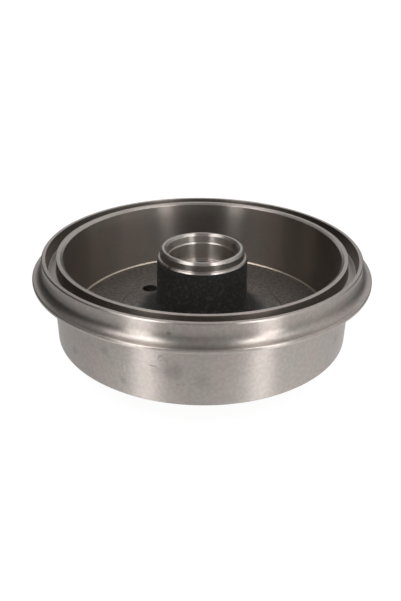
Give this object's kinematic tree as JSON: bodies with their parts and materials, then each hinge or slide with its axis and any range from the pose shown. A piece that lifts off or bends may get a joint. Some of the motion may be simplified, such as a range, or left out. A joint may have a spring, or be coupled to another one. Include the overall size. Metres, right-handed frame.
{
  "type": "brake drum",
  "caption": "Cast and turned rear brake drum with an integral hub: friction ring, grooved lip flange, bearing seats, stud holes and a wheel spigot.",
  "frame": {"origin": "middle of the wheel bolt circle, on the wheel mounting face", "axes": "+Z along the wheel axis, towards the open inboard side; the stud holes lie at 45 degrees to X and Y"},
  "size_m": [0.2498, 0.2498, 0.0823],
  "materials": {
    "grey_iron": "fine turned, hub side as cast"
  },
  "bodies": {
    "root": {"brake_drum": "grey_iron"}
  },
  "joints": []
}
